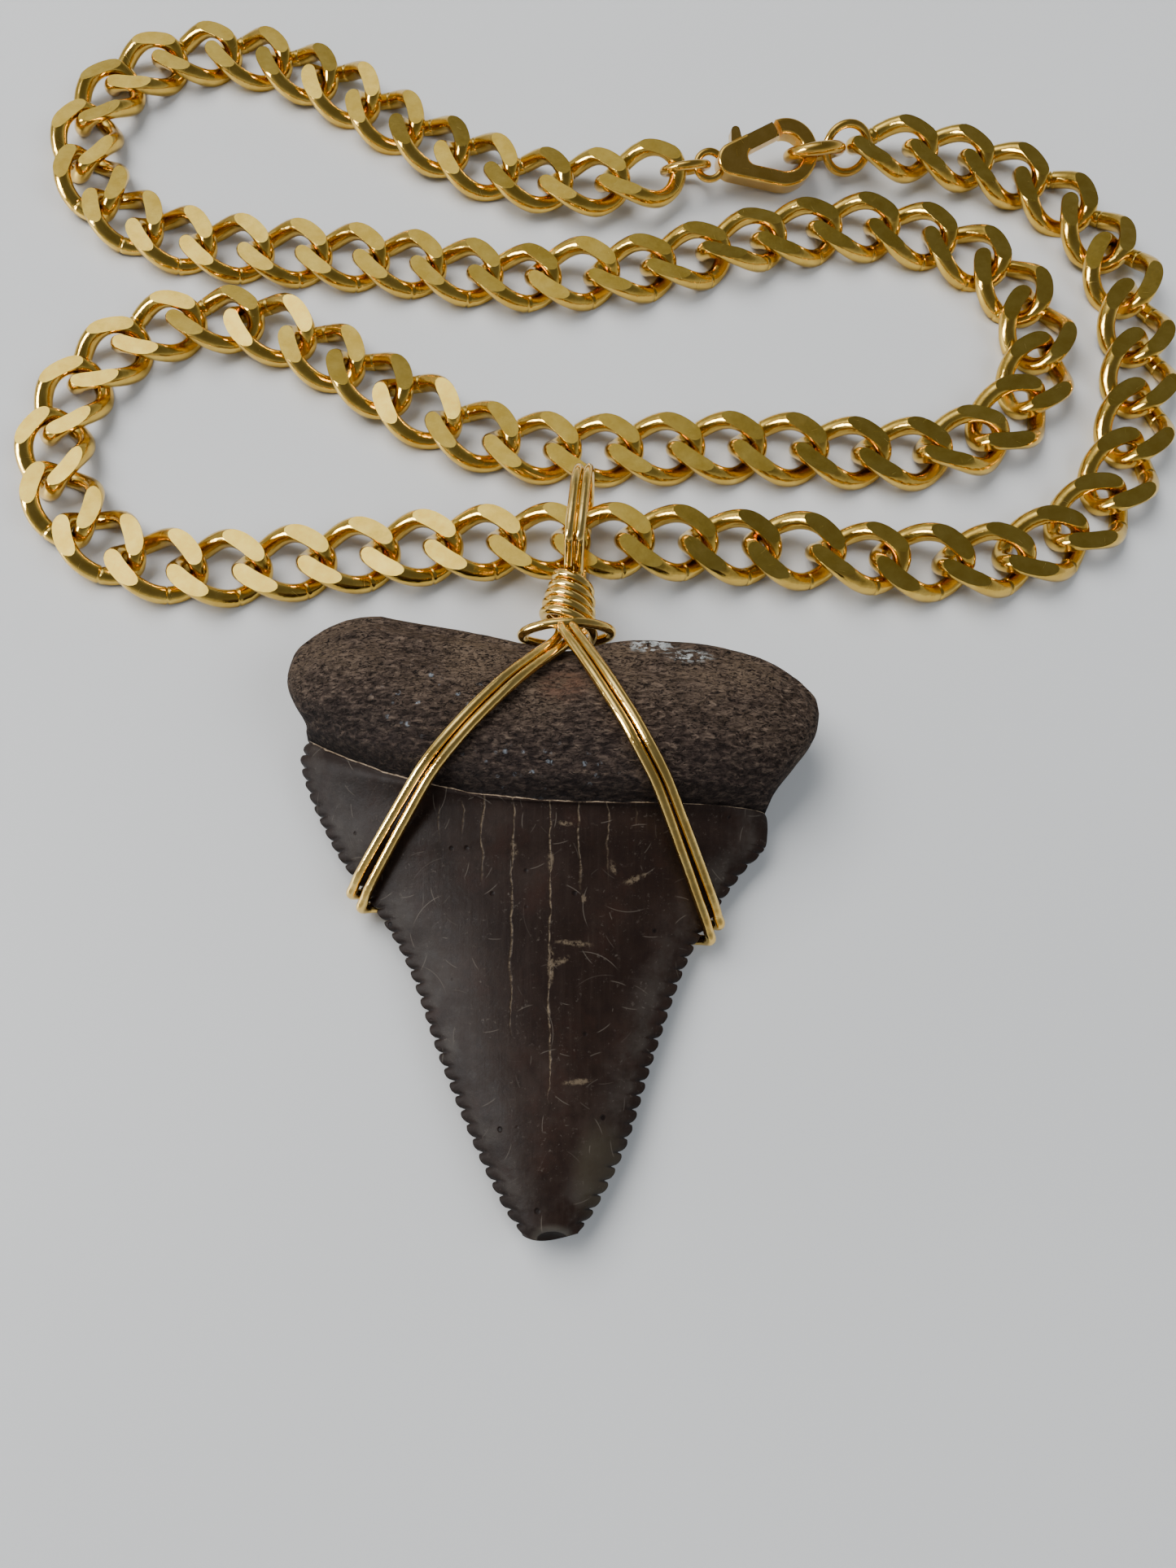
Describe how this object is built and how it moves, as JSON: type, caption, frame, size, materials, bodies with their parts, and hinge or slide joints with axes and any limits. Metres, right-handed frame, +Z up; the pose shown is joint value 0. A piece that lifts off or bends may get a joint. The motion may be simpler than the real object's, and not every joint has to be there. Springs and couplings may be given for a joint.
{
  "type": "shark tooth necklace",
  "caption": "Fossil shark tooth in a doubled wire wrap with a coiled neck and bail, on a closed curb chain with a lobster clasp, lying on a flat surface.",
  "frame": {"origin": "bottom centre of the necklace's box as it lies on the surface", "axes": "+Z up from the surface, +Y from the tooth's tip to its root, +X to the right when the wrap's crossed side is up"},
  "size_m": [0.1064, 0.1156, 0.0109],
  "materials": {
    "tooth": "satin crown, matte root",
    "wire": "polished",
    "chain": "polished, filed flats",
    "clasp": "polished"
  },
  "bodies": {
    "necklace": {"tooth": "tooth", "wire_upper": "wire", "wire_lower": "wire", "chain_left": "chain", "chain_right": "chain", "jump_ring_clasp": "clasp", "clasp_body": "clasp", "clasp_pin": "clasp", "jump_ring_end": "clasp", "end_ring": "clasp"},
    "lever": {"clasp_lever": "clasp"}
  },
  "joints": [
    {"name": "lever_hinge", "type": "hinge", "parent": "necklace", "child": "lever", "pos_m": [0.01371, 0.03988, 0.0028], "axis": [-0.068, 0.4331, -0.8988], "range_deg": [0, 25], "stiffness_Nm_per_rad": 0.002, "springref_deg": -11.46}
  ]
}
